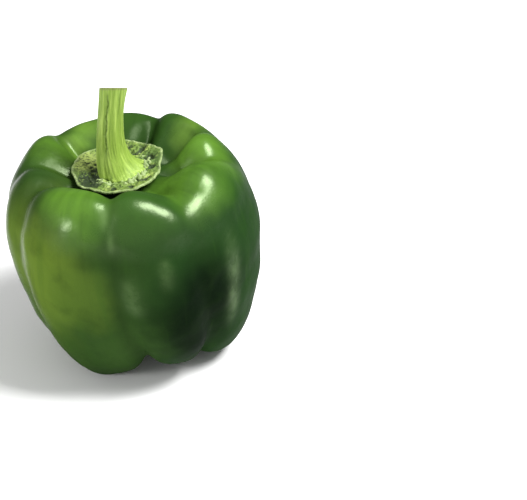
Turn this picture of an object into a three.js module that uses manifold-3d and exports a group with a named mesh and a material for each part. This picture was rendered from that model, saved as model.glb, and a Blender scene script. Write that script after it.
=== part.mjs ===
// A green bell pepper standing on the lobes of its foot: the blocky pod, the calyx that caps
// the hollow of its crown, and the stem that it was cut from the plant by.
// Millimetres, +Z up. The origin is on the surface that the pepper stands on, under the
// middle of its box. Azimuths are in degrees, counter-clockwise from +X as seen from above.

import * as THREE from 'three';
import { mergeVertices } from 'three/addons/utils/BufferGeometryUtils.js';
import Module from 'manifold-3d';

const wasm = await Module();
wasm.setup();

// How the pepper stands: its axis leans towards -X, and its feet are pressed flat where
// they would reach below the surface.
const LEAN = 8;
const SIT = 1.6;

// The pod's middle profile, from the centre of the crown's hollow over the crest, down the
// side and under to the blossom end: the control points of a smooth curve, radius and height.
const PROFILE = [
  [0, 75.5], [7, 75.5], [14.5, 75.2], [21, 77.5], [27.5, 83.5], [36, 85.5], [45, 76], [49, 61],
  [48.5, 44], [44, 27], [36.5, 11.5], [27, 1], [17.5, 2], [9, 9], [0, 11],
];

// Where along the profile (0 at the crown's centre, 1 at the blossom end) the crest, the
// girth and the foot are, and how far the changes made there reach to both sides.
const CREST = { at: 0.34, reach: 0.22 };
const GIRTH = { at: 0.5, reach: 0.27 };
const FOOT = { at: 0.77, reach: 0.23 };

// The lobes, and the broad valleys between some of them: how much each one changes the
// profile. Crest is up, girth and foot are outward, drop and sag are down, at the foot and
// at the girth.
const LOBES = [
  { azimuth: 150, crest: 2, girth: -3, foot: 0, drop: -1.2, sag: 0 },
  { azimuth: 174, crest: -1.5, girth: -3, foot: 0, drop: -1.4, sag: 0 },
  { azimuth: 192, crest: 1, girth: -2, foot: 0, drop: -0.7, sag: 0 },
  { azimuth: 232, crest: 2, girth: 0, foot: 1, drop: 2.5, sag: 0 },
  { azimuth: 258, crest: 3, girth: 0, foot: 0.3, drop: -0.5, sag: 0 },
  { azimuth: 286, crest: 2.5, girth: -0.4, foot: 0.2, drop: -2.2, sag: 0 },
  { azimuth: 308, crest: -8, girth: -1.6, foot: 1.1, drop: -0.7, sag: 0 },
  { azimuth: 334, crest: 1, girth: -1, foot: 2.6, drop: 2.2, sag: 1 },
  { azimuth: 352, crest: -6, girth: 0, foot: 2.2, drop: 7, sag: 2.6 },
  { azimuth: 11, crest: 2, girth: -1, foot: 0.6, drop: 9.2, sag: 3.4 },
  { azimuth: 46, crest: 0, girth: -2, foot: 0, drop: 3.8, sag: 0.6 },
  { azimuth: 86, crest: -2, girth: -2.5, foot: 0, drop: 4.8, sag: 0 },
  { azimuth: 115, crest: -2.5, girth: -2.5, foot: 0, drop: 2.8, sag: 0 },
];
const LOBE_FOCUS = 20;

// The creases between the lobes: azimuth and depth at the crest, the girth and the foot,
// and half the width in degrees.
const CREASES = [
  { azimuth: [176, 180, 186], depth: [2, 0.8, 0], halfWidth: 9 },
  { azimuth: [207, 209, 212], depth: [4.5, 2, 3], halfWidth: 12 },
  { azimuth: [265, 264, 271], depth: [3, 2.2, 5.5], halfWidth: 11 },
  { azimuth: [309, 302, 316], depth: [1.5, 0.8, 4], halfWidth: 9 },
  { azimuth: [352, 364, 374], depth: [3.5, 1, 0.3], halfWidth: 11 },
  { azimuth: [388, 385, 396], depth: [6, 1.2, 4], halfWidth: 16 },
  { azimuth: [67, 66, 70], depth: [5.5, 1.5, 6], halfWidth: 11 },
  { azimuth: [137, 132, 130], depth: [4.5, 1.5, 5], halfWidth: 14 },
];
const CREASE_SHARPNESS = 2.2;
// Along the profile: where the creases begin, where the depth at the crest gives way to that
// at the girth, and where they end, each from one place to another.
const CREASE_START = [0.08, 0.2];
const CREASE_TURN = [0.28, 0.46];
const CREASE_END = [0.82, 0.97];

// The calyx: an uneven rounded polygon, given by the azimuth that each side faces and its
// distance from the middle, dished upwards to a thin rim that stands clear of the pod.
const CALYX_SIDES = [
  { azimuth: 158, distance: 17.8 },
  { azimuth: 112, distance: 15.6 },
  { azimuth: 50, distance: 14.8 },
  { azimuth: 352, distance: 15.4 },
  { azimuth: 312, distance: 17.8 },
  { azimuth: 280, distance: 18.4 },
  { azimuth: 238, distance: 17.4 },
  { azimuth: 197, distance: 17.6 },
];
const CALYX_CORNERS = 16;
const CALYX_RIM_LIFT = [
  { azimuth: 20, lift: 4.2 },
  { azimuth: 90, lift: 3 },
  { azimuth: 140, lift: 3.2 },
  { azimuth: 190, lift: 2 },
  { azimuth: 255, lift: 2.2 },
  { azimuth: 320, lift: 2.6 },
];
const RIM_LIFT_FOCUS = 6;
const CALYX_THICKNESS = 1.8;
const CALYX_RIM_THICKNESS = 0.9;
const GAP = 0.3;

// The stem: control points of its centre line above the pod's axis, with the radius there.
// Its foot flares out over the calyx, most of all to one side, and five soft ribs run up it.
const STEM = [
  { centre: [-1, -1.2, 77.9], radius: 9.4 },
  { centre: [-1.8, -0.8, 81.5], radius: 6.6 },
  { centre: [-2.4, 0.2, 88], radius: 5.2 },
  { centre: [-1.4, 0.8, 96], radius: 4.8 },
  { centre: [0.2, 1.2, 104], radius: 4.6 },
  { centre: [2.2, 1.4, 111], radius: 4.9 },
];
const STEM_FLARE = { azimuth: 20, share: 0.22, height: 0.31 };
const STEM_RIBS = { count: 5, share: 0.035, turn: 0.6 };
// The cut slopes down by the tilt towards the azimuth; the stem turns into it from here up.
const STEM_CUT = { tilt: 30, azimuth: 76, from: 0.8 };

const COLOURS = { pod: 0x44782a, calyx: 0x8fa64a, stem: 0x8fae3c };
const ROUGHNESS = { pod: 0.3, calyx: 0.75, stem: 0.65 };

const rad = THREE.MathUtils.degToRad;
const smooth = THREE.MathUtils.smoothstep;

const SEAT_HEIGHT = PROFILE[0][1];

// A value of a uniform cubic B-spline through rows of numbers, with the rows before the
// first and after the last given.
function spline(rows, before, after, place) {
  const all = [before, ...rows, after];
  const along = THREE.MathUtils.clamp(place, 0, 1) * (rows.length - 1);
  const first = Math.min(Math.floor(along), rows.length - 2);
  const u = along - first;
  const weights = [
    (1 - u) ** 3 / 6,
    (3 * u ** 3 - 6 * u ** 2 + 4) / 6,
    (-3 * u ** 3 + 3 * u ** 2 + 3 * u + 1) / 6,
    u ** 3 / 6,
  ];
  return rows[0].map((_, k) => weights.reduce((sum, w, i) => sum + w * all[first + i][k], 0));
}

// Shares of each row at an angle: largest where the row's own azimuth is, adding up to 1.
function shares(rows, focus, angle) {
  const weights = rows.map((row) => Math.exp(focus * (Math.cos(angle - rad(row.azimuth)) - 1)));
  const total = weights.reduce((sum, w) => sum + w, 0);
  return weights.map((w) => w / total);
}

// A rounded hump along the profile: 1 at its place, falling to 0 at its reach.
function hump({ at, reach }, place) {
  const away = THREE.MathUtils.clamp((place - at) / reach, -1, 1);
  return Math.cos(away * Math.PI / 2) ** 2;
}

// A value given at the crest, the girth and the foot, changing smoothly between them.
function along([crest, girth, foot], place) {
  const upper = smooth(place, ...CREASE_TURN);
  const lower = smooth(place, GIRTH.at, FOOT.at);
  return crest + (girth - crest) * upper + (foot - girth) * lower;
}

// The middle profile, mirrored past its two ends so that it is level where it meets the axis.
function profileAt(place) {
  const [besideCrown, besideBlossom] = [PROFILE[1], PROFILE.at(-2)];
  const before = [-besideCrown[0], besideCrown[1]];
  const after = [-besideBlossom[0], besideBlossom[1]];
  return spline(PROFILE, before, after, place);
}

// How deep the creases are at a place: a notch with slanting sides and a rounded bottom.
function creaseDepth(angle, place) {
  const fade = smooth(place, ...CREASE_START) * (1 - smooth(place, ...CREASE_END));
  return CREASES.reduce((sum, crease) => {
    const turn = angle - rad(along(crease.azimuth, place));
    const away = Math.atan2(Math.sin(turn), Math.cos(turn)) / rad(crease.halfWidth);
    const notch = Math.exp(1 - Math.hypot(1, CREASE_SHARPNESS * away));
    return sum + along(crease.depth, place) * fade * notch;
  }, 0);
}

// A point of the pod's skin: the profile, changed by the lobes, and pushed in along its
// normal by the creases.
function podPoint(angle, place) {
  const weights = shares(LOBES, LOBE_FOCUS, angle);
  const lobe = (key) => weights.reduce((sum, w, i) => sum + w * LOBES[i][key], 0);
  const atCrest = hump(CREST, place);
  const atGirth = hump(GIRTH, place);
  const atFoot = hump(FOOT, place);
  const [middleRadius, middleHeight] = profileAt(place);
  const step = 0.001;
  const [r0, h0] = profileAt(place - step);
  const [r1, h1] = profileAt(place + step);
  const length = Math.hypot(r1 - r0, h1 - h0);
  const depth = creaseDepth(angle, place);
  const radius = middleRadius + lobe('girth') * atGirth + lobe('foot') * atFoot
    + depth * (h1 - h0) / length;
  const height = middleHeight + lobe('crest') * atCrest - lobe('drop') * atFoot
    - lobe('sag') * atGirth - depth * (r1 - r0) / length;
  return new THREE.Vector3(radius * Math.cos(angle), radius * Math.sin(angle), height);
}

function calyxRadius(angle) {
  const sum = CALYX_SIDES.reduce((total, side) => {
    const facing = Math.max(Math.cos(angle - rad(side.azimuth)), 0) / side.distance;
    return total + facing ** CALYX_CORNERS;
  }, 0);
  return sum ** (-1 / CALYX_CORNERS);
}

// Height of the calyx's underside and top, at a share of the way out to its rim.
function calyxHeights(angle, out) {
  const weights = shares(CALYX_RIM_LIFT, RIM_LIFT_FOCUS, angle);
  const lift = weights.reduce((sum, w, i) => sum + w * CALYX_RIM_LIFT[i].lift, 0);
  const under = SEAT_HEIGHT + GAP + lift * out ** 3;
  const thickness = CALYX_THICKNESS + (CALYX_RIM_THICKNESS - CALYX_THICKNESS) * out ** 4;
  return { under, top: under + thickness };
}

// A point of the calyx: so far out on its top or its underside.
function calyxPoint(angle, { out, side }) {
  const radius = calyxRadius(angle) * out;
  const height = calyxHeights(angle, out)[side];
  return new THREE.Vector3(radius * Math.cos(angle), radius * Math.sin(angle), height);
}

// A point of the stem: so far along from its foot to its cut, and so far out from its
// centre line. The foot follows the calyx's top, and the cut slopes down towards the back.
function stemPoint(angle, { along: up, out }) {
  const rows = STEM.map(({ centre, radius }) => [...centre, radius]);
  const mirrored = (end, next) => end.map((value, k) => 2 * value - next[k]);
  const before = mirrored(rows[0], rows[1]);
  const after = mirrored(rows.at(-1), rows.at(-2));
  const [x, y, height, middleRadius] = spline(rows, before, after, up);
  const flare = THREE.MathUtils.clamp(1 - up / STEM_FLARE.height, 0, 1) ** 2;
  const lopsided = 1 + STEM_FLARE.share * flare * Math.cos(angle - rad(STEM_FLARE.azimuth));
  const ribs = 1 + STEM_RIBS.share * Math.cos(STEM_RIBS.count * angle + STEM_RIBS.turn);
  const radius = middleRadius * lopsided * ribs * out;
  const point = new THREE.Vector3(
    x + radius * Math.cos(angle), y + radius * Math.sin(angle), height,
  );
  const calyxAngle = Math.atan2(point.y, point.x);
  const calyxOut = Math.hypot(point.x, point.y) / calyxRadius(calyxAngle);
  const footRise = calyxHeights(calyxAngle, calyxOut).top + GAP - STEM[0].centre[2];
  point.z += footRise * (1 - smooth(up, 0, STEM_FLARE.height));
  const towardsCut = radius * Math.cos(angle - rad(STEM_CUT.azimuth));
  point.z -= Math.tan(rad(STEM_CUT.tilt)) * towardsCut * smooth(up, STEM_CUT.from, 1);
  return point;
}

// A closed skin of rings, from a point function of an angle and a ring. The first and the
// last ring are single points.
function closedSkin(rings, columns, pointAt) {
  const first = pointAt(0, rings[0]);
  const last = pointAt(0, rings.at(-1));
  const points = [first];
  for (const ring of rings.slice(1, -1)) {
    for (let column = 0; column < columns; column += 1) {
      points.push(pointAt(2 * Math.PI * column / columns, ring));
    }
  }
  points.push(last);
  const faces = [];
  const at = (ring, column) => 1 + (ring - 1) * columns + column % columns;
  const end = points.length - 1;
  const lastRing = rings.length - 2;
  for (let column = 0; column < columns; column += 1) {
    faces.push(0, at(1, column), at(1, column + 1));
    for (let ring = 1; ring < lastRing; ring += 1) {
      const [a, b] = [at(ring, column), at(ring + 1, column)];
      const [c, d] = [at(ring + 1, column + 1), at(ring, column + 1)];
      faces.push(a, b, c, a, c, d);
    }
    faces.push(at(lastRing, column), end, at(lastRing, column + 1));
  }
  const geometry = new THREE.BufferGeometry().setFromPoints(points);
  geometry.setIndex(faces);
  return geometry;
}

function solidOf(geometry) {
  const bare = geometry.clone();
  bare.deleteAttribute('normal');
  bare.deleteAttribute('uv');
  const merged = mergeVertices(bare);
  const vertProperties = merged.attributes.position.array;
  const triVerts = new Uint32Array(merged.index.array);
  return new wasm.Manifold(new wasm.Mesh({ numProp: 3, vertProperties, triVerts }));
}

function geometryOf(solid) {
  const { vertProperties, triVerts } = solid.getMesh();
  const geometry = new THREE.BufferGeometry();
  geometry.setAttribute('position', new THREE.BufferAttribute(vertProperties, 3));
  geometry.setIndex(new THREE.BufferAttribute(triVerts, 1));
  return geometry;
}

// Even steps from one value to another, both included.
function steps(from, to, count) {
  return Array.from({ length: count + 1 }, (_, i) => from + (to - from) * i / count);
}

const standing = new THREE.Matrix4().makeRotationY(rad(-LEAN)).setPosition(0, 0, SIT);

function piece(name, geometry) {
  geometry.computeVertexNormals();
  const material = new THREE.MeshStandardMaterial({
    color: COLOURS[name], roughness: ROUGHNESS[name], metalness: 0,
  });
  const mesh = new THREE.Mesh(geometry, material);
  mesh.name = name;
  return mesh;
}

function makePod() {
  const skin = closedSkin(steps(0, 1, 42), 96, podPoint).applyMatrix4(standing);
  const [width, depth] = [200, 20];
  const ground = new THREE.BoxGeometry(width, width, depth).translate(0, 0, -depth / 2);
  return piece('pod', geometryOf(solidOf(skin).subtract(solidOf(ground))));
}

function makeCalyx() {
  const ways = steps(0, 1, 7);
  const rings = [
    ...ways.map((out) => ({ out, side: 'top' })),
    ...ways.reverse().map((out) => ({ out, side: 'under' })),
  ];
  return piece('calyx', closedSkin(rings, 64, calyxPoint).applyMatrix4(standing));
}

function makeStem() {
  const rings = [
    { along: 1, out: 0 },
    { along: 1, out: 0.5 },
    ...steps(1, 0, 26).map((along) => ({ along, out: 1 })),
    { along: 0, out: 0.5 },
    { along: 0, out: 0 },
  ];
  return piece('stem', closedSkin(rings, 40, stemPoint).applyMatrix4(standing));
}

const pepper = new THREE.Group();
pepper.add(makePod(), makeCalyx(), makeStem());

const middle = new THREE.Box3().setFromObject(pepper).getCenter(new THREE.Vector3());
pepper.position.set(-middle.x, -middle.y, 0);
pepper.updateMatrixWorld(true);

export default pepper;
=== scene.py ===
import bpy
import numpy as np
from mathutils import Matrix, Vector


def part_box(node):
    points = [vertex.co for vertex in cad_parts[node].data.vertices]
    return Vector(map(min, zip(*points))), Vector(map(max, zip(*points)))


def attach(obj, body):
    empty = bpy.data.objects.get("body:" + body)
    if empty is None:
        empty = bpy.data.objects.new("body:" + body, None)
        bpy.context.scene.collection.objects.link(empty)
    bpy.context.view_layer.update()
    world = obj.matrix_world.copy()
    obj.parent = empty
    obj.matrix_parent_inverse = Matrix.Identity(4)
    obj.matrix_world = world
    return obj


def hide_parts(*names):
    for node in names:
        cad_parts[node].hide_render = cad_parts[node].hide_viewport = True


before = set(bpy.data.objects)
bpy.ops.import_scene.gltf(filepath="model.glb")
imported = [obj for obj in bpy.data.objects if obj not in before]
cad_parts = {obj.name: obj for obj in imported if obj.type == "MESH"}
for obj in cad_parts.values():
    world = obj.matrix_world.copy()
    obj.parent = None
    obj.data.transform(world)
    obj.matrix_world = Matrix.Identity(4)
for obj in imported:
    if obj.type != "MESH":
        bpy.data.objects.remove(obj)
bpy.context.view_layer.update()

# The pod: one fruit of thick green flesh under a waxy skin, grown in lobes with creases
# between them. It stands on the tips of three lobes and leans a little to the left.

MM = 0.001
LEAN = np.radians(8.0)
SIT = 1.6
POD_RINGS, POD_COLUMNS = 220, 380
SOLID_RINGS, SOLID_COLUMNS = 43, 96
PLACE_STEP = 0.001

# Radius and height of a lobe's ridge in mm, from the crown's centre to the blossom end.
PROFILE = np.array([
    [0, 75.5], [7, 75.5], [14.5, 75.2], [21, 77.5], [27.5, 83.5], [36, 85.5], [45, 76], [49, 61],
    [48.5, 44], [44, 27], [36.5, 11.5], [27, 1], [17.5, 2], [9, 9], [0, 11],
])
# Where along the profile the crest, girth and foot are, and how far each change reaches.
CREST, CREST_REACH = 0.34, 0.22
GIRTH, GIRTH_REACH = 0.5, 0.27
FOOT, FOOT_REACH = 0.77, 0.23
# Azimuth in degrees, then mm: crest up, girth out, foot out, foot down, girth down.
LOBES = np.array([
    [150, 2, -3, 0, -1.2, 0],
    [174, -1.5, -3, 0, -1.4, 0],
    [192, 1, -2, 0, -0.7, 0],
    [232, 2, 0, 1, 2.5, 0],
    [258, 3, 0, 0.3, -0.5, 0],
    [286, 2.5, -0.4, 0.2, -2.2, 0],
    [308, -8, -1.6, 1.1, -0.7, 0],
    [334, 1, -1, 2.6, 2.2, 1],
    [352, -6, 0, 2.2, 7, 2.6],
    [11, 2, -1, 0.6, 9.2, 3.4],
    [46, 0, -2, 0, 3.8, 0.6],
    [86, -2, -2.5, 0, 4.8, 0],
    [115, -2.5, -2.5, 0, 2.8, 0],
])
LOBE_FOCUS = 20.0
# Azimuths at the crest, girth and foot, depths there in mm, and half the width in degrees.
CREASES = [
    ([176, 180, 186], [2, 0.8, 0], 9),
    ([207, 209, 212], [4.5, 2, 3], 12),
    ([265, 264, 271], [3, 2.2, 5.5], 11),
    ([309, 302, 316], [1.5, 0.8, 4], 9),
    ([352, 364, 374], [3.5, 1, 0.3], 11),
    ([388, 385, 396], [6, 1.2, 4], 16),
    ([67, 66, 70], [5.5, 1.5, 6], 11),
    ([137, 132, 130], [4.5, 1.5, 5], 14),
]
CREASE_SHARPNESS = 2.2
# Along the profile: where creases begin, where the crest's depth gives way, and their end.
CREASE_START, CREASE_TURN, CREASE_END = (0.08, 0.20), (0.28, 0.46), (0.82, 0.97)


def eased(low, high, x):
    """0 below low, 1 above high, and 3t^2 - 2t^3 between them."""
    t = np.clip((x - low) / (high - low), 0, 1)
    return t * t * (3 - 2 * t)


def bent(rows, before, after, place):
    """Uniform cubic B-spline of rows of numbers at each place from 0 to 1."""
    knots = np.vstack([before, rows, after])
    along = np.clip(place, 0, 1) * (len(rows) - 1)
    first = np.minimum(along.astype(int), len(rows) - 2)
    u = (along - first)[..., None]
    return (
        (1 - u) ** 3 * knots[first]
        + (3 * u**3 - 6 * u**2 + 4) * knots[first + 1]
        + (-3 * u**3 + 3 * u**2 + 3 * u + 1) * knots[first + 2]
        + u**3 * knots[first + 3]
    ) / 6


def blended(rows, focus, angle):
    """Values of rows at an angle, each weighing exp(focus * (cos(angle - its azimuth) - 1))."""
    away = np.asarray(angle)[..., None] - np.radians(rows[:, 0])
    weight = np.exp(focus * (np.cos(away) - 1))
    shares = weight / weight.sum(-1, keepdims=True)
    return np.moveaxis(shares @ rows[:, 1:], -1, 0)


def hump(middle, reach, place):
    """Squared cosine: 1 at the middle and 0 from its reach on."""
    return np.cos(np.pi / 2 * np.clip((place - middle) / reach, -1, 1)) ** 2


def profile_at(place):
    """The profile, mirrored past its two ends on the axis."""
    mirror = np.array([-1, 1])
    return bent(PROFILE, PROFILE[1] * mirror, PROFILE[-2] * mirror, place)


def crease_depth(angle, place):
    """Sum over the creases of depth * exp(1 - sqrt(1 + (sharpness * away)^2)), away in half
    widths, with azimuth and depth eased from crest to girth to foot, faded in and out."""
    upper, lower = eased(*CREASE_TURN, place), eased(GIRTH, FOOT, place)
    fade = eased(*CREASE_START, place) * (1 - eased(*CREASE_END, place))
    total = 0
    for azimuths, depths, half_width in CREASES:
        azimuth, depth = (
            crest + (girth - crest) * upper + (foot - girth) * lower
            for crest, girth, foot in (azimuths, depths)
        )
        turn = angle - np.radians(azimuth)
        away = np.arctan2(np.sin(turn), np.cos(turn)) / np.radians(half_width)
        total = total + depth * fade * np.exp(1 - np.hypot(1, CREASE_SHARPNESS * away))
    return total


def pod_skin(angle, place, swell=0.0):
    """Profile plus the lobes' changes, moved inwards along its normal by the creases' depth
    and outwards by the swell, turned round the axis to the angle. In mm, axis upright."""
    crest, girth, foot, drop, sag = blended(LOBES, LOBE_FOCUS, angle)
    at_crest = hump(CREST, CREST_REACH, place)
    at_girth = hump(GIRTH, GIRTH_REACH, place)
    at_foot = hump(FOOT, FOOT_REACH, place)
    middle = profile_at(place)
    run = profile_at(place + PLACE_STEP) - profile_at(place - PLACE_STEP)
    run = run / np.linalg.norm(run, axis=-1, keepdims=True)
    inwards = crease_depth(angle, place) - swell
    radius = middle[..., 0] + girth * at_girth + foot * at_foot + inwards * run[..., 1]
    height = (
        middle[..., 1] + crest * at_crest - drop * at_foot - sag * at_girth
        - inwards * run[..., 0]
    )
    return np.stack([radius * np.cos(angle), radius * np.sin(angle), height], -1)


def stood(points):
    """Points of the upright axis leant towards -X and lifted on to the surface, in mm."""
    x, y, z = np.moveaxis(points, -1, 0)
    return np.stack([
        x * np.cos(LEAN) - z * np.sin(LEAN),
        y,
        x * np.sin(LEAN) + z * np.cos(LEAN) + SIT,
    ], -1)


def ring_grid(rings, columns):
    """Angle and place of each point of a grid of rings, places from 0 to 1."""
    place, angle = np.meshgrid(
        np.linspace(0, 1, rings), np.arange(columns) * 2 * np.pi / columns, indexing="ij"
    )
    return angle, place


# The solid's own grid has the same lowest corner, which gives the axis its place.
solid_low = stood(pod_skin(*ring_grid(SOLID_RINGS, SOLID_COLUMNS))).min((0, 1))
AXIS_FOOT = np.array([*(np.array(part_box("pod")[0])[:2] / MM - solid_low[:2]), 0])


def ripples(points, length, seed, waves=24):
    """Sum of plane waves about one length long, in seeded directions and phases: a natural
    unevenness of 1 root mean square, and up to about 3 either way."""
    draw = np.random.default_rng(seed)
    directions = draw.normal(size=(waves, 3))
    directions /= np.linalg.norm(directions, axis=1, keepdims=True)
    numbers = 2 * np.pi / (length * draw.uniform(0.75, 1.35, waves))
    phases = draw.uniform(0, 2 * np.pi, waves)
    total = 0
    for direction, number, phase in zip(directions, numbers, phases):
        total = total + np.cos(points @ direction * number + phase)
    return total / np.sqrt(waves / 2)


def closed_piece(name, grid, measures):
    """A closed, smooth object from a grid of points in mm, rings by columns, whose first and
    last rings are single points. Measures become values on its points."""
    rings, columns = grid.shape[:2]

    def listed(values):
        return np.concatenate([
            values[0, :1], values[1:-1].reshape(-1, *values.shape[2:]), values[-1, :1],
        ])

    points = listed((grid + AXIS_FOOT) * MM)
    column = np.arange(columns)
    following = np.roll(column, -1)
    start = 1 + columns * np.arange(rings - 2)[:, None]
    quads = np.stack([
        start[:-1] + column, start[1:] + column, start[1:] + following, start[:-1] + following,
    ], -1).reshape(-1, 4)
    first, last = np.zeros_like(column), np.full_like(column, len(points) - 1)
    top = np.stack([first, 1 + column, 1 + following], -1)
    bottom = np.stack([start[-1] + column, last, start[-1] + following], -1)
    mesh = bpy.data.meshes.new(name)
    mesh.from_pydata(points.tolist(), [], quads.tolist() + top.tolist() + bottom.tolist())
    for key, values in measures.items():
        kind, field = ("FLOAT", "value") if values.ndim == 2 else ("FLOAT_VECTOR", "vector")
        layer = mesh.attributes.new(key, kind, "POINT")
        layer.data.foreach_set(field, listed(values).astype(np.float32).ravel())
    mesh.shade_smooth()
    piece = bpy.data.objects.new(name, mesh)
    bpy.context.scene.collection.objects.link(piece)
    return piece


class Wire:
    """An output socket in a material's node tree. Python's operators on it add Math nodes."""

    def __init__(self, tree, socket=None):
        self.tree = tree
        self.socket = socket

    def add(self, kind, settings=None, sockets=None, output=0):
        """A new node of a kind: its settings, then the values or wires of its sockets."""
        node = self.tree.nodes.new("ShaderNode" + kind)
        for name, value in (settings or {}).items():
            setattr(node, name, value)
        for name, value in (sockets or {}).items():
            if isinstance(value, Wire):
                self.tree.links.new(value.socket, node.inputs[name])
            else:
                node.inputs[name].default_value = value
        return Wire(self.tree, node.outputs[output] if node.outputs else None)

    def math(self, operation, *values):
        """A Math node of an operation on wires and numbers."""
        return self.add("Math", {"operation": operation}, dict(enumerate(values)))

    def __add__(self, other):
        return self.math("ADD", self, other)

    def __sub__(self, other):
        return self.math("SUBTRACT", self, other)

    def __rsub__(self, other):
        return self.math("SUBTRACT", other, self)

    def __mul__(self, other):
        return self.math("MULTIPLY", self, other)

    __radd__ = __add__

    def stepped(self, low, high):
        """0 below low and 1 above high, eased between them, or the other way round."""
        sockets = {"Value": self, "From Min": low, "From Max": high}
        return self.add("MapRange", {"interpolation_type": "SMOOTHSTEP"}, sockets)

    def tint(self, share, colour):
        """This colour, mixed with a share of another."""
        sockets = {0: share, 6: self, 7: (*colour, 1.0)}
        return self.add("Mix", {"data_type": "RGBA"}, sockets, output=2)

    def noise(self, scale, detail=2.0, roughness=0.5, distortion=0.0, output="Fac"):
        """Noise at this position, from 0 to 1."""
        sockets = {
            "Vector": self, "Scale": scale, "Detail": detail, "Roughness": roughness,
            "Distortion": distortion,
        }
        return self.add("TexNoise", sockets=sockets, output=output)

    def near(self, middle, core, edge):
        """1 within a core round a point of this position, easing to 0 at the edge."""
        settings = {"operation": "DISTANCE"}
        distance = self.add("VectorMath", settings, {0: self, 1: middle}, output="Value")
        return distance.stepped(edge, core)


def new_material(name):
    """An empty node material, and a wire to start its nodes from."""
    material = bpy.data.materials.new(name)
    material.use_nodes = True
    material.node_tree.nodes.clear()
    return material, Wire(material.node_tree)


def finish_surface(wire, colour, rough, height, bump, **constants):
    """A Principled shader from a colour, a roughness and a bump height in mm."""
    relief = wire.add("Bump", sockets={"Height": height, "Strength": bump, "Distance": MM})
    sockets = {"Base Color": colour, "Roughness": rough, "Normal": relief}
    sockets.update({name.replace("_", " "): value for name, value in constants.items()})
    return wire.add("BsdfPrincipled", sockets=sockets)


def at_axis(x, y, z):
    """A point given in mm from the foot of the pod's axis, in metres."""
    return tuple((np.array([x, y, z]) + AXIS_FOOT) * MM)


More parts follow.
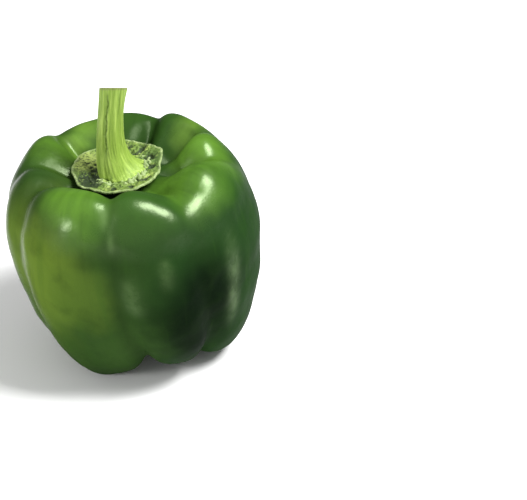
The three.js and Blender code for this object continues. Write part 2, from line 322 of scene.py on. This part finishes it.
def pod_finish():
    """Green wax skin: yellow green on the left, fresh green on the crown, partly painted light,
    deep green on the right, with faint streaks. Painted shadow makes it nearly black green low
    on the front right, painted highlights and glow lighten spots on the crown, and painted
    shade darkens the creases. It is glossy on the shoulders and dull on the flanks, but for a
    few dull spots and some glossier patches with a painted pale reflection."""
    material, wire = new_material("pod_skin")
    plain = wire.add("TexCoord", output="Object")
    wander = 22 * MM
    drift = wire.add("VectorMath", {"operation": "MULTIPLY_ADD"}, {
        0: plain.noise(30, 3, 0.6, output="Color"), 1: (wander,) * 3, 2: plain,
    })
    at = wire.add("VectorMath", {"operation": "SUBTRACT"}, {0: drift, 1: (wander / 2,) * 3})
    course = wire.add("Attribute", {"attribute_name": "course"}, output="Vector")
    crease = wire.add("Attribute", {"attribute_name": "crease"}, output="Fac")
    place = wire.add("Attribute", {"attribute_name": "place"}, output="Fac")
    streaks = course.noise(1.0, 3, 0.55, 0.3)
    mottle = plain.noise(75, 4, 0.6)
    dents = plain.noise(130, 2)
    pores = plain.noise(1400, 1)
    across = wire.add("SeparateXYZ", sockets={0: at}, output="X")
    up = wire.add("SeparateXYZ", sockets={0: at}, output="Z")
    level = wire.add("SeparateXYZ", sockets={0: plain}, output="Z")
    # Painted shadow and dark reflection: a patch low on the front right, which is also made dull.
    dark = at.near(at_axis(20, -38, 42), 8 * MM, 28 * MM)
    dark = dark.math("MAXIMUM", dark, at.near(at_axis(20, -33, 26), 4 * MM, 24 * MM))
    # Glossier patches, paler too as a painted reflection.
    gloss_and_painted_sheen = wire.add("Attribute", {"attribute_name": "gloss_and_painted_sheen"}, output="Fac")
    gloss_and_painted_sheen = gloss_and_painted_sheen * (0.4 + mottle.stepped(0.35, 0.65) * 0.8)

    leaf, deep, shade = (0.018, 0.044, 0.008), (0.009, 0.031, 0.006), (0.008, 0.021, 0.004)
    # The bright green here and the lightest green two lines down paint glow and highlights.
    fresh, bright, sunny = (0.025, 0.070, 0.009), (0.085, 0.190, 0.018), (0.098, 0.158, 0.018)
    olive, painted_shadow_green, scar = (0.058, 0.106, 0.014), (0.002, 0.006, 0.002), (0.10, 0.07, 0.03)
    pale, painted_glint, foot = (0.110, 0.190, 0.060), (0.160, 0.300, 0.035), (0.030, 0.068, 0.013)
    colour = wire.add("RGB")
    colour.socket.default_value = (*leaf, 1.0)
    colour = colour.tint(across.stepped(-0.008, 0.020) * 0.9, deep)
    colour = colour.tint(across.stepped(-0.014, -0.034) * up.stepped(0.078, 0.062) * 0.6, olive)
    # Lighter green on the crown: partly the skin's colour, partly painted light.
    colour = colour.tint(up.stepped(0.073, 0.091) * 0.85, fresh)
    # Painted highlights and glow on the crown: the middle, core and edge in mm, the share
    # and the colour.
    for middle, core, edge, share, patch in [
        ((-28, -33, 82), 4, 19, 0.72, bright), ((18, -21, 84), 4, 17, 0.45, bright),
        ((-33, 12, 79), 4, 20, 0.65, bright), ((-28, 19, 75), 1, 8, 0.7, painted_glint),
        ((8, -17, 79), 4, 14, 0.6, bright), ((19, 0, 85), 6, 20, 0.75, bright),
        ((14, 18, 85), 2, 10, 0.55, painted_glint), ((-22, 28, 81), 2, 11, 0.45, painted_glint),
    ]:
        painted_glow_spot = at.near(at_axis(*middle), core * MM, edge * MM)
        colour = colour.tint(painted_glow_spot * share, patch)
    flank = at.near(at_axis(-42, -30, 58), 10 * MM, 36 * MM) * up.stepped(0.082, 0.062)
    colour = colour.tint(flank * 0.85, sunny)
    colour = colour.tint(at.near(at_axis(-27, -43, 50), 4 * MM, 20 * MM) * 0.6, olive)
    colour = colour.tint(at.near(at_axis(-4, -40, 26), 6 * MM, 26 * MM) * 0.7, foot)
    # Painted shadow makes the patch low on the front right nearly black green.
    colour = colour.tint(dark * 0.95, painted_shadow_green)
    colour = colour.tint(mottle.stepped(0.45, 0.75) * 0.3, shade)
    colour = colour.tint(streaks.stepped(0.50, 0.72) * 0.18, shade)
    colour = colour.tint(streaks.stepped(0.46, 0.28) * 0.2, fresh)
    # Painted shade: darker in the creases.
    colour = colour.tint(crease.stepped(0.1, 0.9) * 0.3, shade)
    # Painted reflection: the glossier patches are also paler.
    colour = colour.tint(gloss_and_painted_sheen * 0.5, pale)
    colour = colour.tint(place.stepped(0.985, 0.995), scar)
    rough = 0.28 + (mottle - 0.5) * 0.10
    height = (mottle - 0.5) * 0.48 + (dents - 0.5) * 0.36 + (pores - 0.5) * 0.02
    height = height + (streaks - 0.5) * 0.05
    glossy = finish_surface(
        wire, colour, rough, height, 0.6,
        IOR=1.42, Specular_IOR_Level=0.55, Specular_Tint=(0.80, 1.0, 0.60, 1.0),
    )
    dull = finish_surface(wire, colour, 0.5, height, 0.6, IOR=1.3, Specular_IOR_Level=0.02)
    edge_on = wire.add("LayerWeight", sockets={"Blend": 0.5}, output="Facing")
    shine = (1 - dark * 0.95) * (0.08 + level.stepped(0.065, 0.077) * 0.92)
    # Dull spots: the middle, core and edge in mm, and the share of the gloss they take.
    for position, middle, core, edge, share in [
        (at, (-4, 28, 81), 7, 16, 0.85), (at, (-37, 5, 77), 3, 10, 0.7),
        (at, (5, 11, 76), 4, 10, 0.8), (plain, (18, -24, 84), 0.3, 4.2, 0.85),
    ]:
        shine = shine * (1 - position.near(at_axis(*middle), core * MM, edge * MM) * share)
    # Less gloss where the skin turns edge on, but for a thin line down the left side.
    shine = shine * (1 - edge_on.stepped(0.12, 0.42) * 0.92) + gloss_and_painted_sheen * 0.6
    shine = shine + edge_on.stepped(0.60, 0.90) * across.stepped(-0.020, -0.042) * 0.6
    skin = wire.add("MixShader", sockets={0: shine, 1: dull, 2: glossy})
    wire.add("OutputMaterial", sockets={"Surface": skin})
    return material


# Small swellings of the skin: azimuth in degrees, place, reach in mm and rise in mm.
SWELLINGS = [(151, 0.25, 7, 0.9), (12, 0.31, 7, 1.2), (340, 0.36, 9, 1.6), (299, 0.42, 8, 1.3)]
# Glossier patches that also carry a painted pale reflection: azimuth, place, half the width
# in degrees, half the length and share.
SHEEN_PATCHES = [
    (262.5, 0.390, 2.2, 0.030, 0.9), (265, 0.435, 1.6, 0.025, 0.6), (271, 0.545, 4.0, 0.035, 0.5),
    (287.5, 0.512, 2.8, 0.026, 0.6), (323.5, 0.575, 3.8, 0.080, 0.65),
]


def sheen_patch_share(angle, place):
    """Largest of the patches' shares, each times exp(-(turn / width)^2 - (step / length)^4)."""
    total = np.zeros_like(place)
    for azimuth, middle, width, length, share in SHEEN_PATCHES:
        turn = angle - np.radians(azimuth)
        turn = np.degrees(np.arctan2(np.sin(turn), np.cos(turn))) / width
        patch = share * np.exp(-(turn**2) - ((place - middle) / length) ** 4)
        total = np.maximum(total, patch)
    return total


# How far the streaks' noise runs round the pod and along it.
STREAK_TURN, STREAK_RUN = 7, 5
# The depth in mm that counts as a full crease.
CREASE_FULL = 5.0

angle, place = ring_grid(POD_RINGS, POD_COLUMNS)
plain = pod_skin(angle, place)
swell = 0.35 * ripples(plain, 42, 3) + 0.14 * ripples(plain, 17, 4)
swell = (swell + 0.03 * ripples(plain, 7, 5)) * eased(0.06, 0.2, place)
for azimuth, middle, reach, rise in SWELLINGS:
    away = np.linalg.norm(plain - pod_skin(np.radians(azimuth), middle), axis=-1) / reach
    swell = swell + rise * np.exp(-(away**2))
pod_points = stood(pod_skin(angle, place, swell))
pod_points[..., 2] = np.maximum(pod_points[..., 2], 0)
course = np.stack([
    STREAK_TURN * np.cos(angle), STREAK_TURN * np.sin(angle), STREAK_RUN * place,
], -1)
pod = closed_piece("pod_skin", pod_points, {
    "crease": crease_depth(angle, place) / CREASE_FULL, "place": place, "course": course,
    "gloss_and_painted_sheen": sheen_patch_share(angle, place),
})
pod.data.materials.append(pod_finish())
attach(pod, "root")
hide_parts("pod")

# The calyx: the cap of sepals grown together, thin, dry and rough, seated in the hollow
# of the crown. Its uneven rim stands clear of the pod and throws a dark line on it.

SEAT_HEIGHT = PROFILE[0][1]
GAP = 0.3
CALYX_SIDES = np.array([
    [158, 17.8], [112, 15.6], [50, 14.8], [352, 15.4], [312, 17.8], [280, 18.4], [238, 17.4],
    [197, 17.6],
])
CALYX_CORNERS = 16
RIM_LIFT = np.array([[20, 4.2], [90, 3.0], [140, 3.2], [190, 2.0], [255, 2.2], [320, 2.6]])
RIM_LIFT_FOCUS = 6.0
CALYX_THICKNESS, RIM_THICKNESS = 1.8, 0.9
# The reach in mm on which the cap's veins, lumps and pits are laid out.
CALYX_REACH = 17
# The shares of the rings on the cap's top and round its edge.
TOP_SHARE, EDGE_SHARE = 0.47, 0.06


def calyx_radius(angle):
    """Rounded polygon: (sum of (cos(angle - side) / distance)^corners)^(-1 / corners)."""
    facing = np.cos(np.asarray(angle)[..., None] - np.radians(CALYX_SIDES[:, 0]))
    return ((np.maximum(facing, 0) / CALYX_SIDES[:, 1]) ** CALYX_CORNERS).sum(-1) ** (
        -1 / CALYX_CORNERS
    )


def calyx_heights(angle, out):
    """Underside and top: seat + lift * out^3, and the thickness on it, thinner at the rim."""
    lift = blended(RIM_LIFT, RIM_LIFT_FOCUS, angle)[0]
    under = SEAT_HEIGHT + GAP + lift * out**3
    return under, under + CALYX_THICKNESS + (RIM_THICKNESS - CALYX_THICKNESS) * out**4


# Azimuth in degrees, share of the way out, radius in mm and depth in mm of each pit.
PITS = [
    (262, 0.86, 0.9, 0.8), (285, 0.84, 0.9, 0.9), (12, 0.70, 1.6, 1.0), (345, 0.78, 1.3, 0.9),
    (222, 0.80, 2.6, 1.1), (205, 0.74, 2.4, 1.0), (312, 0.80, 0.8, 0.6), (50, 0.82, 1.4, 0.8),
    (95, 0.80, 1.2, 0.7),
]
CALYX_VEINS = 11


def calyx_places(way):
    """Share of the way out from the middle, and the turn round the rim's edge, for ways
    along the top, round the edge and back underneath, from 0 to 1."""
    out = np.clip(np.minimum(way, 1 - way) / TOP_SHARE, 0, 1)
    return out, np.clip((way - TOP_SHARE) / EDGE_SHARE, 0, 1)


def calyx_points(angle, way):
    """The cap's two faces, with veins that run out to the rim, pits and fine lumps."""
    out, turn = calyx_places(way)
    under, top = calyx_heights(angle, out)
    level = (top + under) / 2 + (top - under) / 2 * np.cos(np.pi * turn)
    across = np.stack([np.cos(angle), np.sin(angle), 0 * angle], -1)
    flat = CALYX_REACH * out[..., None] * across
    rim = eased(0.7, 1.0, out)
    radius = calyx_radius(angle) * out + 0.35 * np.sin(np.pi * turn)
    radius = radius + rim * (0.16 * ripples(flat, 8, 11) + 0.07 * ripples(flat, 3, 12))
    upper = eased(0.3, 0.6, out) * (1 + np.cos(np.pi * turn)) / 2
    wander = angle + 0.12 * ripples(flat, 9, 16)
    veins = 0.22 * np.maximum(np.cos(CALYX_VEINS * wander), 0) ** 3 * (1 - 0.6 * rim)
    lumps = 0.24 * ripples(flat, 4.5, 13) + 0.16 * ripples(flat, 2.2, 14)
    lumps = lumps + 0.07 * ripples(flat, 1.1, 15)
    cork = eased(0.52, 0.60, out) * eased(0.80, 0.66, out) * (0.35 + 0.65 * np.cos(angle + 0.9))
    crumbs = np.maximum(cork, 0) * np.maximum(ripples(flat, 1.5, 17), 0)
    relief = upper * (veins + lumps * (1 - 0.7 * rim) + 0.75 * crumbs)
    for azimuth, share, width, depth in PITS:
        turned = np.radians(azimuth)
        middle = CALYX_REACH * share * np.array([np.cos(turned), np.sin(turned), 0])
        away = np.linalg.norm(flat - middle, axis=-1) / width
        relief = relief - upper * depth * np.exp(-(away**2))
    level = level + relief + 0.1 * rim * ripples(flat, 6, 18)
    points = np.stack([radius * np.cos(angle), radius * np.sin(angle), level], -1)
    return points, relief, crumbs * upper


def calyx_finish():
    """Dull, mealy green with pale crumbs, a bright dry patch and a thin pale rim. Painted
    shade makes its pits and low places black green and darkens a patch on the front left."""
    material, wire = new_material("calyx_skin")
    at = wire.add("TexCoord", output="Object")
    out = wire.add("Attribute", {"attribute_name": "out"}, output="Fac")
    relief = wire.add("Attribute", {"attribute_name": "relief"}, output="Fac")
    crumbs = wire.add("Attribute", {"attribute_name": "crumbs"}, output="Fac")
    grains = at.noise(1100, 4, 0.7)
    blotches = at.noise(330, 3, 0.6, 0.5)
    edge_rim = out.stepped(0.955, 0.99)
    dry = at.near(on_calyx(157, 0.72), 3 * MM, 8 * MM)
    painted_hollow_shade = at.near(on_calyx(206, 0.74), 3 * MM, 7 * MM)
    right = at.near(on_calyx(5, 0.80), 3 * MM, 10 * MM)
    olive, straw, moss = (0.13, 0.21, 0.035), (0.36, 0.46, 0.11), (0.012, 0.026, 0.005)
    pale, leaf = (0.33, 0.42, 0.18), (0.08, 0.15, 0.03)
    colour = wire.add("RGB")
    colour.socket.default_value = (*olive, 1.0)
    colour = colour.tint(right * 0.8, leaf)
    colour = colour.tint(blotches.stepped(0.50, 0.68) * 0.7, straw)
    colour = colour.tint(dry, straw)
    colour = colour.tint(grains.stepped(0.52, 0.38) * 0.75, moss)
    # Painted shade: black green in the pits and low places of the relief.
    colour = colour.tint(relief.stepped(0.00, -0.40) * 0.9, moss)
    # Painted shadow darkens the dip on the front left.
    colour = colour.tint(painted_hollow_shade * grains.stepped(0.62, 0.50) * 0.95, moss)
    colour = colour.tint(crumbs.stepped(0.15, 0.5) * 0.8, pale)
    colour = colour.tint(edge_rim * (0.35 + blotches.stepped(0.40, 0.60) * 0.5), pale)
    rough = 0.6 + (grains - 0.5) * 0.3
    shader = finish_surface(wire, colour, rough, grains * 0.5, 0.8, IOR=1.4)
    wire.add("OutputMaterial", sockets={"Surface": shader})
    return material


def on_calyx(azimuth, share):
    """The point of the cap's top at an azimuth and a share of the way out, in metres."""
    turned = np.radians(azimuth)
    reach = calyx_radius(turned) * share
    height = calyx_heights(turned, share)[1]
    return at_axis(*stood(np.array([reach * np.cos(turned), reach * np.sin(turned), height])))


angle, way = ring_grid(230, 400)
points, relief, crumbs = calyx_points(angle, way)
calyx = closed_piece("calyx_cap", stood(points), {
    "out": calyx_places(way)[0], "relief": relief, "crumbs": crumbs,
})
calyx.data.materials.append(calyx_finish())
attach(calyx, "root")
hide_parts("calyx")

# The stem: the woody stalk that the fruit hung by, cut off at a slant. Five soft ribs run
# up it, and its foot flares out over the calyx and has grown together with it.

STEM = np.array([
    [-1.0, -1.2, 77.9, 9.4], [-1.8, -0.8, 81.5, 6.6], [-2.4, 0.2, 88, 5.2],
    [-1.4, 0.8, 96, 4.8], [0.2, 1.2, 104, 4.6], [2.2, 1.4, 111, 4.9],
])
FLARE_AZIMUTH, FLARE_SHARE, FLARE_HEIGHT = 20, 0.22, 0.31
RIBS, RIB_SHARE, RIB_TURN = 5, 0.035, 0.6
CUT_TILT, CUT_AZIMUTH = np.radians(30), np.radians(76)
FOOT_SINK = 0.5
CRACK_AZIMUTH, CRACK_DEPTH, CRACK_WIDTH = 253, 0.5, 0.35
# The share of the rings that closes each end of the stem.
CAP_SHARE = 0.04
# How far the fibres' noise runs round the stem and along it.
FIBRE_TURN, FIBRE_RUN = 2.2, 1.1


def stem_skin(angle, up, out, swell=0.0):
    """Circles round a bent centre line, with a lopsided flare at the foot, which follows the
    calyx's top, and a cut that slopes down to the back. Up runs from foot to cut, 0 to 1."""
    before, after = 2 * STEM[0] - STEM[1], 2 * STEM[-1] - STEM[-2]
    x, y, height, radius = np.moveaxis(bent(STEM, before, after, up), -1, 0)
    flare = np.clip(1 - up / FLARE_HEIGHT, 0, 1) ** 2
    lopsided = 1 + FLARE_SHARE * flare * np.cos(angle - np.radians(FLARE_AZIMUTH))
    ribs = 1 + RIB_SHARE * np.cos(RIBS * angle + RIB_TURN)
    radius = (radius * lopsided * ribs + swell) * out
    x, y = x + radius * np.cos(angle), y + radius * np.sin(angle)
    calyx_angle = np.arctan2(y, x)
    top = calyx_heights(calyx_angle, np.hypot(x, y) / calyx_radius(calyx_angle))[1]
    rise = top - FOOT_SINK - STEM[0][2]
    height = height + rise * (1 - eased(0, FLARE_HEIGHT, up))
    slope = np.tan(CUT_TILT) * radius * np.cos(angle - CUT_AZIMUTH)
    return np.stack([x, y, height - slope * eased(0.8, 1, up)], -1)


def crack_mask(angle, up):
    """1 along a thin wandering line that runs down from near the cut, 0 away from it."""
    wander = 2.2 * np.sin(31 * up) + 1.2 * np.sin(73 * up + 1)
    turn = angle - np.radians(CRACK_AZIMUTH + wander)
    away = np.arctan2(np.sin(turn), np.cos(turn)) * STEM[3][3] / CRACK_WIDTH
    beads = 0.8 + 0.2 * np.sin(95 * up) * np.sin(41 * up + 2)
    return np.exp(-(away**2)) * eased(0.30, 0.45, up) * eased(0.97, 0.90, up) * beads


def stem_finish():
    """Yellow green bark with fine lengthwise fibres and a dark crack, brown at the cut."""
    material, wire = new_material("stem_bark")
    at = wire.add("TexCoord", output="Object")
    course = wire.add("Attribute", {"attribute_name": "course"}, output="Vector")
    up = wire.add("Attribute", {"attribute_name": "up"}, output="Fac")
    crack = wire.add("Attribute", {"attribute_name": "crack"}, output="Fac")
    fibres = course.noise(6.0, 3, 0.6)
    streaks = course.noise(2.0, 3, 0.6, 0.2)
    grains = at.noise(900, 3, 0.6)
    bark, pale, shade = (0.20, 0.31, 0.042), (0.36, 0.50, 0.10), (0.09, 0.16, 0.02)
    colour = wire.add("RGB")
    colour.socket.default_value = (*bark, 1.0)
    colour = colour.tint(streaks.stepped(0.48, 0.68) * 0.8, pale)
    colour = colour.tint(streaks.stepped(0.46, 0.30) * 0.6, shade)
    colour = colour.tint(fibres.stepped(0.45, 0.30) * 0.45, shade)
    colour = colour.tint(fibres.stepped(0.55, 0.70) * 0.35, pale)
    colour = colour.tint(up.stepped(0.20, 0.05) * grains.stepped(0.5, 0.65) * 0.8, pale)
    colour = colour.tint(crack * 0.85, (0.05, 0.10, 0.01))
    colour = colour.tint(up.stepped(0.965, 0.995) * 0.75, (0.16, 0.17, 0.06))
    height = fibres * 0.35 + streaks * 0.3 + grains * 0.1
    rough = 0.5 + (grains - 0.5) * 0.2
    shader = finish_surface(wire, colour, rough, height, 0.7, IOR=1.4, Specular_IOR_Level=0.35)
    wire.add("OutputMaterial", sockets={"Surface": shader})
    return material


angle, way = ring_grid(260, 240)
up = np.where(
    way < CAP_SHARE, 1, np.clip((1 - CAP_SHARE - way) / (1 - 2 * CAP_SHARE), 0, 1)
)
out = np.clip(np.minimum(way, 1 - way) / CAP_SHARE, 0, 1)
course = np.stack([
    FIBRE_TURN * np.cos(angle), FIBRE_TURN * np.sin(angle), FIBRE_RUN * up,
], -1)
fibrous = 0.09 * ripples(course, 0.9, 21) + 0.05 * ripples(course, 0.35, 22)
foot_wave = 0.35 * ripples(course, 1.3, 23) * eased(0.25, 0.0, up)
crack = crack_mask(angle, up)
swell = fibrous + foot_wave - CRACK_DEPTH * crack
stem = closed_piece("stem_stalk", stood(stem_skin(angle, up, out, swell)), {
    "up": up, "crack": crack, "course": course,
})
stem.data.materials.append(stem_finish())
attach(stem, "root")
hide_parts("stem")

# The stage: a pale plain floor under a soft lamp high on the right, a weaker one low on
# the left, and a dim white sky.

FLOOR_REACH = 3.0
LIT_HEIGHT = 0.05


def floor_finish():
    """Matt, nearly white paper."""
    material, wire = new_material("floor_paper")
    shader = wire.add("BsdfPrincipled", sockets={
        "Base Color": (0.9, 0.9, 0.9, 1.0), "Roughness": 0.8,
    })
    wire.add("OutputMaterial", sockets={"Surface": shader})
    return material


floor_mesh = bpy.data.meshes.new("floor")
corners = [(-1, -1), (1, -1), (1, 1), (-1, 1)]
floor_mesh.from_pydata(
    [(x * FLOOR_REACH, y * FLOOR_REACH, 0) for x, y in corners], [], [(0, 1, 2, 3)]
)
floor = bpy.data.objects.new("floor", floor_mesh)
bpy.context.scene.collection.objects.link(floor)
floor.data.materials.append(floor_finish())


def soft_light(name, azimuth, elevation, distance, size, power):
    """A rectangular lamp that looks at the pod's middle from an azimuth and an elevation."""
    data = bpy.data.lights.new(name, "AREA")
    data.shape = "RECTANGLE"
    data.size, data.size_y = size
    data.energy = power
    light = bpy.data.objects.new(name, data)
    turn, rise = np.radians(azimuth), np.radians(elevation)
    back = Vector((np.cos(turn) * np.cos(rise), np.sin(turn) * np.cos(rise), np.sin(rise)))
    light.location = Vector((0, 0, LIT_HEIGHT)) + back * distance
    light.rotation_euler = back.to_track_quat("Z", "Y").to_euler()
    bpy.context.scene.collection.objects.link(light)


soft_light("front_right", 342, 60, 0.9, (0.34, 0.40), 16.0)
soft_light("front_left", 212, 17, 0.9, (0.19, 0.20), 4.0)

world = bpy.data.worlds.new("sky")
world.use_nodes = True
sky = world.node_tree.nodes["Background"].inputs
sky["Color"].default_value = (1, 1, 1, 1)
sky["Strength"].default_value = 0.52
bpy.context.scene.world = world

# The camera: a long lens 0.9 m away, 33 degrees above the pod's middle, turned a little
# to the right so that the pod stands in the left half of the picture.

SENSOR_WIDTH = 36.0
PICTURE_WIDTH, PICTURE_HEIGHT = 527, 500
MM_PER_PIXEL = 0.378
DISTANCE = 900.0
ELEVATION = np.radians(33)
AIM = np.array([0, 0, 45.6])
AIM_PIXEL = np.array([150.0, 243.0])

back = np.array([0, -np.cos(ELEVATION), np.sin(ELEVATION)])
upwards = np.array([0, np.sin(ELEVATION), np.cos(ELEVATION)])
eye = AIM + AXIS_FOOT + back * DISTANCE
off = (np.array([PICTURE_WIDTH, PICTURE_HEIGHT]) / 2 - AIM_PIXEL) * MM_PER_PIXEL
looked_at = AIM + AXIS_FOOT + np.array([1, 0, 0]) * off[0] - upwards * off[1]

camera_data = bpy.data.cameras.new("camera")
camera_data.sensor_width = SENSOR_WIDTH
camera_data.lens = SENSOR_WIDTH * DISTANCE / (PICTURE_WIDTH * MM_PER_PIXEL)
camera = bpy.data.objects.new("camera", camera_data)
camera.location = Vector(eye * MM)
towards_eye = (eye - looked_at) / np.linalg.norm(eye - looked_at)
sideways = np.cross(upwards, towards_eye)
sideways /= np.linalg.norm(sideways)
turned = Matrix((sideways, np.cross(towards_eye, sideways), towards_eye)).transposed()
camera.rotation_euler = turned.to_euler()
bpy.context.scene.collection.objects.link(camera)
bpy.context.scene.camera = camera
bpy.context.scene.view_settings.view_transform = "Standard"
